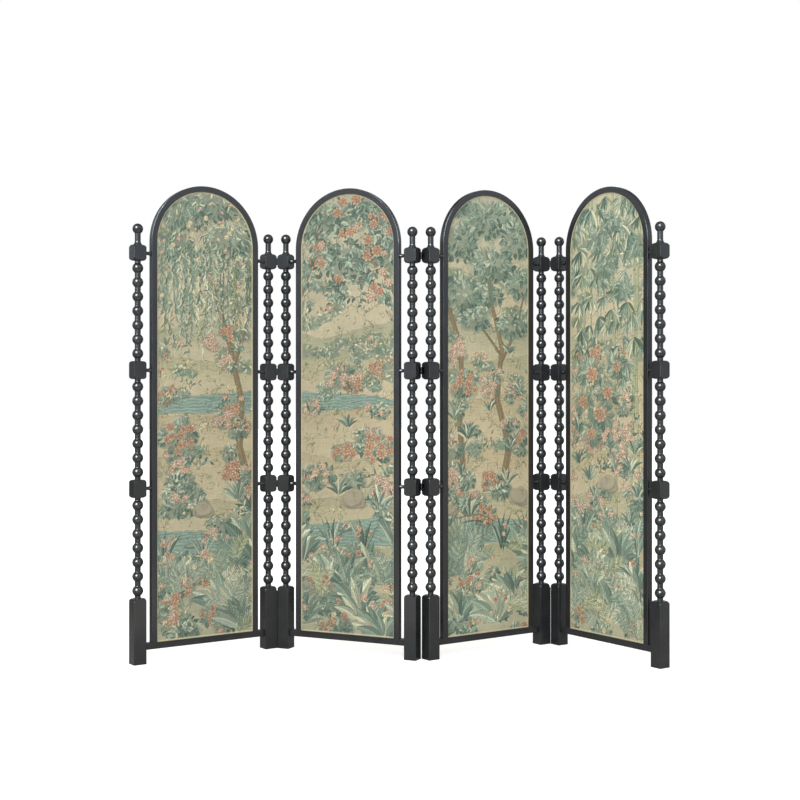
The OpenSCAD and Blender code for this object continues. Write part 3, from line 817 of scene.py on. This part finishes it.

# A printed cloth's lines bite, and with age it fades towards the ground's colour and mottles. Painted shade
# darkens the first two leaves, so that they read no lighter than the third and fourth in their deeper fold.
rgb += gardenPrint["bite"] * (rgb - soften(rgb, int(gardenPrint["reach"] / 2 / pitch)))
rgb += (grounds[2] - rgb) * gardenPrint["fade"]
places, light = gardenPrint["paintedShade"]
# painted shade along the cloth, then the mottle on top of it
shadedAndMottled = np.interp(lengths, np.array(places) * long, light)[None, :]
for cells, strength in gardenPrint["mottle"]:
    shadedAndMottled = shadedAndMottled + strength * softNoise(shape, cells)
rgb = within(rgb * shadedAndMottled[..., None])
print("Garden painted:", rgb.shape[1], "by", rgb.shape[0])


def rippleOf(seed):
    # long, low waves across a stretched cloth
    chance = np.random.default_rng(seed).uniform
    along, up, count = panelCloth["waves"]
    waves = [(chance(-1, 1) / along, chance(-1, 1) / up, chance(0, 6.28)) for _ in range(count)]
    return lambda x, z: panelCloth["slack"] * sum(np.sin(a * x + b * z + c) for a, b, c in waves) / 3


def stretchCloth(name, leaf, panel, depth, cell, seed):
    # columns of quads from the foot up to the arch, closer together at the sides
    half, crowding = panel["half"], panelCloth["crowding"]
    columns, rows = int(2 * half / cell) + 1, int((panel["head"] - panel["foot"]) / cell) + 1
    u = np.linspace(-1, 1, columns)
    x = half * ((1 - crowding) * u + crowding * np.sin(u * pi / 2))
    top = panel["spring"] + np.sqrt(np.clip(half**2 - x**2, 0, None))
    z = panel["foot"] + np.linspace(0, 1, rows)[:, None] * (top - panel["foot"])[None, :]
    x = np.broadcast_to(x[None, :], z.shape)
    inLip = panel["open"] - np.hypot(x, np.clip(z - panel["spring"], 0, None))
    edge = np.minimum(inLip, z - panel["sill"])
    lift = rippleOf(seed)(x, z) * within(edge / panelCloth["still"])
    middle, along, back = (np.array(v) for v in leafPlace(leaf))
    local = x[..., None] * along + (depth + lift)[..., None] * back + z[..., None] * np.array([0, 0, 1])
    points = middle + local / 1000
    index = np.arange(z.size).reshape(z.shape)
    corners = (index[:-1, :-1], index[:-1, 1:], index[1:, 1:], index[1:, :-1])
    quads = np.stack(corners, axis=-1).reshape(-1, 4)
    if depth > 0:
        quads = quads[:, ::-1]
    mesh = bpy.data.meshes.new(name)
    mesh.vertices.add(z.size)
    mesh.vertices.foreach_set("co", points.astype(np.float32).ravel())
    mesh.loops.add(quads.size)
    mesh.loops.foreach_set("vertex_index", quads.astype(np.int32).ravel())
    mesh.polygons.add(len(quads))
    mesh.polygons.foreach_set("loop_start", np.arange(0, quads.size, 4, dtype=np.int32))
    mesh.polygons.foreach_set("use_smooth", np.ones(len(quads), bool))
    mesh.update(calc_edges=True)
    cloth = bpy.data.objects.new(name, mesh)
    bpy.context.scene.collection.objects.link(cloth)
    return cloth, x.ravel(), z.ravel(), edge.ravel()


# Cotton and linen in plain weave. The real threads are 0.6 mm apart, too fine for the render,
# so they are drawn three times as coarse; thick slubs run along some of them.
plainWeave = {
    "thread": 1.8,  # mm
    "relief": 0.05,  # mm
    "threadShade": (0.92, 1.024),  # painted shade between the threads and a little painted light on them: the tone there and on them
    "slubLength": 60.0,  # mm
    "slub": (0.91, 1.09),  # its tone along thin threads and thick ones
    "grit": 260.0,  # specks of the print to the metre
    "gritTone": (0.88, 1.12),
    "lining": ((0.35, "#b0a07e"), (0.65, "#c2b391")),
    "liningClouds": 9.0,  # to the metre
    "roughness": 0.85,
    "sheen": 0.08,
}


def makeCloth(name, printed):
    s = plainWeave
    material, tree = startMaterial(name)
    place = addNode(tree, "UVMap", uv_map="laid").outputs["UV"]  # metres along and up the cloth
    bands = {
        "Vector": place, "Scale": wavesOf(s["thread"]),
        "Distortion": 0.5, "Detail": 1.0, "Detail Scale": 2.0,
    }
    warp, weft = (addNode(tree, "TexWave", bands, bands_direction=way).outputs["Fac"] for way in "XY")
    threads = addNode(tree, "Math", (warp, weft), operation="MAXIMUM").outputs[0]
    slubs = []
    wide, long = 1000 / s["thread"] / 2, 1000 / s["slubLength"]
    for scale in ((wide, long, 1), (long, wide, 1)):
        laid = addNode(tree, "Mapping", {"Vector": place, "Scale": scale}).outputs[0]
        streaks = {"Vector": laid, "Scale": 1.0, "Detail": 2.0}
        slubs.append(addNode(tree, "TexNoise", streaks).outputs["Fac"])
    slub = addNode(tree, "Math", slubs, operation="ADD").outputs[0]
    # painted shade in the weave: darker between the threads, a little lighter on their crowns
    weave = addNode(tree, "MapRange", (threads, 0.0, 1.0, *s["threadShade"])).outputs[0]
    uneven = addNode(tree, "MapRange", (slub, 0.7, 1.3, *s["slub"])).outputs[0]
    value = addNode(tree, "Math", (weave, uneven), operation="MULTIPLY").outputs[0]
    if printed:
        colour = addNode(tree, "Attribute", attribute_name="print").outputs["Color"]
        specks = {"Vector": place, "Scale": s["grit"], "Detail": 3.0, "Roughness": 0.7}
        grit = addNode(tree, "TexNoise", specks).outputs["Fac"]
        broken = addNode(tree, "MapRange", (grit, 0.3, 0.7, *s["gritTone"])).outputs[0]
        value = addNode(tree, "Math", (value, broken), operation="MULTIPLY").outputs[0]
    else:
        noise = {"Vector": place, "Scale": s["liningClouds"], "Detail": 4.0}
        clouds = addNode(tree, "TexNoise", noise).outputs["Fac"]
        colour = addNode(tree, "ValToRGB", {"Fac": clouds}, stops=s["lining"]).outputs["Color"]
    toned = addNode(tree, "VectorMath", {0: colour, "Scale": value}, operation="SCALE").outputs[0]
    bump = addNode(tree, "Bump", {"Height": threads, "Strength": 1.0, "Distance": s["relief"] / 1000})
    finishMaterial(tree, addNode(tree, "BsdfPrincipled", {
        "Base Color": toned, "Roughness": s["roughness"], "Normal": bump.outputs[0],
        "Sheen Weight": s["sheen"], "Sheen Roughness": 0.5, "Specular IOR Level": 0.3,
    }))
    return material


def layCloth(cloth, x, z, material):
    # the cloth's own map, in metres, for its weave
    uv = cloth.data.uv_layers.new(name="laid")
    corners = np.empty(len(cloth.data.loops), np.int32)
    cloth.data.loops.foreach_get("vertex_index", corners)
    uv.data.foreach_set("uv", np.stack([x[corners], z[corners]], axis=1).astype(np.float32).ravel() / 1000)
    cloth.data.materials.append(material)


def printColours(x, z, edge):
    # the painting's tone at each corner of the cloth, and bare cloth along the lip
    s = gardenPrint
    i, j = np.clip(x / pitch, 0, shape[1] - 1.001), np.clip((z - foot) / pitch, 0, shape[0] - 1.001)
    a, b = (i % 1)[:, None], (j % 1)[:, None]
    i, j = i.astype(int), j.astype(int)
    low, high = (rgb[row, i] * (1 - a) + rgb[row, i + 1] * a for row in (j, j + 1))
    tone = low * (1 - b) + high * b
    bare = within((s["bare"] - edge) / s["bareFade"] + 0.5)[:, None] * s["bareCover"]
    tone = tone + (straw[0] - tone) * bare
    return np.concatenate([toLinear(tone), np.ones((len(tone), 1))], axis=1)


printedMaterial = makeCloth("printed_linen_plain_weave", True)
liningMaterial = makeCloth("cotton_lining_plain_weave", False)

for n, leaf in enumerate(leaves):
    panel = shapeOfPanel(leaf)
    depth, cell = panel["front"] + panelCloth["lift"], panelCloth["cell"]
    front, x, z, edge = stretchCloth(f"printed_cloth_{leaf}", leaf, panel, depth, cell, n)
    layCloth(front, x, z, printedMaterial)
    colours = front.data.color_attributes.new("print", "FLOAT_COLOR", "POINT")
    printed = printColours(x + (n + 0.5) * clothWide, z, edge)
    colours.data.foreach_set("color", printed.astype(np.float32).ravel())
    depth, cell = panel["back"] - panelCloth["lift"], panelCloth["backCell"]
    back, x, z, edge = stretchCloth(f"lining_cloth_{leaf}", leaf, panel, depth, cell, n + 50)
    layCloth(back, x, z, liningMaterial)
    for cloth, node, slot in (
        (front, "front_cloth", "printed_cloth"), (back, "back_cloth", "lining_cloth"),
    ):
        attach(cloth, f"leaf_{leaf}")
        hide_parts(f"{node}_{leaf}")
print("Cloths stretched on", len(leaves), "leaves")


# A white studio. The screen is lit evenly from all round and by a disk of light from the front
# left. Gloss sees a room of its own: dark behind the screen, lit in front of it, with a band of
# light low on its walls, three softboxes, and a floor that is brightest in front.
studio = {
    "fill": 1.08,  # the room's light on the screen
    "gloss": (0.0, 0.67),  # how bright gloss sees the room, behind the screen and in front of it
    "glossTurn": (-1.1, 0.5),  # the cosines between which it goes from one to the other
    "glossTint": "#e9f2fb",
    "wallBand": ((0.0, 0.2), (0.3, 0.5), 0.62),  # the rises where it comes and goes, and its brightness
    "softboxes": (  # the way to it; half its width and its soft edge in degrees; its brightness
        ((-0.31, 0.48, 0.82), 18, 4, 28.0),
        ((-0.3, 0.05, 0.95), 26, 12, 1.5),
        ((0.56, 0.68, 0.46), 16, 8, 1.5),
    ),
    "key": 60.0,  # watts
    "keySize": 2.4,  # metres across
    "keyWay": (-0.3, 0.6, 0.74),
    "keyFar": 5.4,  # metres from the screen's middle
}
studioFloor = {
    "tone": "#d9d9d9",
    "lift": 0.6,  # light that it gives the camera alone, so that it reads as white
    "gloss": (0.12, 0.72),  # how bright gloss sees it, one span behind the screen and one in front
    "span": 1.0,  # metres
    "warm": "#fffaf2",
    "poolWay": (-0.2, 0.0, 0.98),  # the way to where a softbox lights it for gloss
    "poolFar": 1.5,  # metres
    "poolReach": (1.3, 0.4),  # metres from there at which the pool of light begins and is full
    "poolLight": 1.0,
    "half": 40.0,  # metres
    "under": 0.0005,  # metres that it lies under the feet, so that their faces don't fight
}


def fromCamera(way):
    # a way that is given as right, up and towards the photograph's camera
    turn = radians(cameraSetup["turn"])
    right, close = Vector((cos(turn), sin(turn), 0)), Vector((sin(turn), -cos(turn), 0))
    return right * way[0] + Vector((0, 0, way[1])) + close * way[2]


def makeRoom():
    world = bpy.data.worlds.new("white_room")
    bpy.context.scene.world = world
    world.use_nodes = True
    tree = world.node_tree
    tree.nodes.clear()
    looking = addNode(tree, "TexCoord").outputs["Generated"]
    shine, close = studio["gloss"]
    rise, fall, bright = studio["wallBand"]
    front, up = (0, 0, 1), (0, 1, 0)
    patches = [(front, studio["glossTurn"], close - shine), (up, rise, bright), (up, fall, -bright)]
    for way, half, soft, bright in studio["softboxes"]:
        patches.append((way, [cos(radians(half + side * soft)) for side in (1, -1)], bright))
    for way, ramp, bright in patches:
        toPatch = tuple(fromCamera(way).normalized())
        facing = addNode(tree, "VectorMath", (looking, toPatch), operation="DOT_PRODUCT").outputs["Value"]
        patch = addNode(tree, "MapRange", (facing, *ramp, 0.0, bright), interpolation_type="SMOOTHSTEP")
        shine = addNode(tree, "Math", (patch.outputs[0], shine), operation="ADD").outputs[0]
    path = addNode(tree, "LightPath").outputs
    white = (1, 1, 1, 1)
    fill, mirrored, seen = (
        addNode(tree, "Background", light).outputs[0]
        for light in ((white, studio["fill"]), (hexToLinear(studio["glossTint"]), shine), (white, 1.0))
    )
    room = addNode(tree, "MixShader", (path["Is Glossy Ray"], fill, mirrored)).outputs[0]
    room = addNode(tree, "MixShader", (path["Is Camera Ray"], room, seen))
    addNode(tree, "OutputWorld", {"Surface": room.outputs[0]})


def makeFloor():
    s = studioFloor
    material, tree = startMaterial("studio_floor_white_matt")
    path = addNode(tree, "LightPath").outputs
    lift = addNode(tree, "Math", (path["Is Camera Ray"], s["lift"]), operation="MULTIPLY").outputs[0]
    paint = addNode(tree, "BsdfDiffuse", {"Color": hexToLinear(s["tone"]), "Roughness": 0.5}).outputs[0]
    glow = addNode(tree, "Emission", {"Color": (1, 1, 1, 1), "Strength": lift}).outputs[0]
    seen = addNode(tree, "AddShader", (paint, glow)).outputs[0]
    place = addNode(tree, "TexCoord").outputs["Object"]
    toFront = tuple(fromCamera((0, 0, 1)))
    poolPlace = tuple(fromCamera(s["poolWay"]).normalized() * s["poolFar"])
    front = addNode(tree, "VectorMath", (place, toFront), operation="DOT_PRODUCT").outputs["Value"]
    shine = addNode(tree, "MapRange", (front, -s["span"], s["span"], *s["gloss"])).outputs[0]
    away = addNode(tree, "VectorMath", (place, poolPlace), operation="DISTANCE").outputs["Value"]
    reach = (away, *s["poolReach"], 0.0, s["poolLight"])
    pool = addNode(tree, "MapRange", reach, interpolation_type="SMOOTHSTEP").outputs[0]
    shine = addNode(tree, "Math", (pool, shine), operation="ADD").outputs[0]
    mirrored = addNode(tree, "Emission", {"Color": hexToLinear(s["warm"]), "Strength": shine}).outputs[0]
    finishMaterial(tree, addNode(tree, "MixShader", (path["Is Glossy Ray"], seen, mirrored)))
    mesh = bpy.data.meshes.new("studio_floor")
    corners = [(x * s["half"], y * s["half"], 0) for x, y in ((-1, -1), (1, -1), (1, 1), (-1, 1))]
    mesh.from_pydata(corners, [], [(0, 1, 2, 3)])
    mesh.materials.append(material)
    floor = bpy.data.objects.new("studio_floor", mesh)
    floor.location.z = -s["under"]
    bpy.context.scene.collection.objects.link(floor)


def makeKey():
    way = fromCamera(studio["keyWay"]).normalized()
    key = bpy.data.objects.new("softbox", bpy.data.lights.new("softbox", "AREA"))
    key.data.shape, key.data.size, key.data.energy = "DISK", studio["keySize"], studio["key"]
    key.location = (cadBox[0] + cadBox[1]) / 2 + way * studio["keyFar"]
    key.rotation_euler = way.to_track_quat("Z", "Y").to_euler()
    bpy.context.scene.collection.objects.link(key)


makeRoom()
makeFloor()
makeKey()
bpy.context.scene.view_settings.view_transform = "Standard"
print("Studio lit")

bpy.context.view_layer.update()
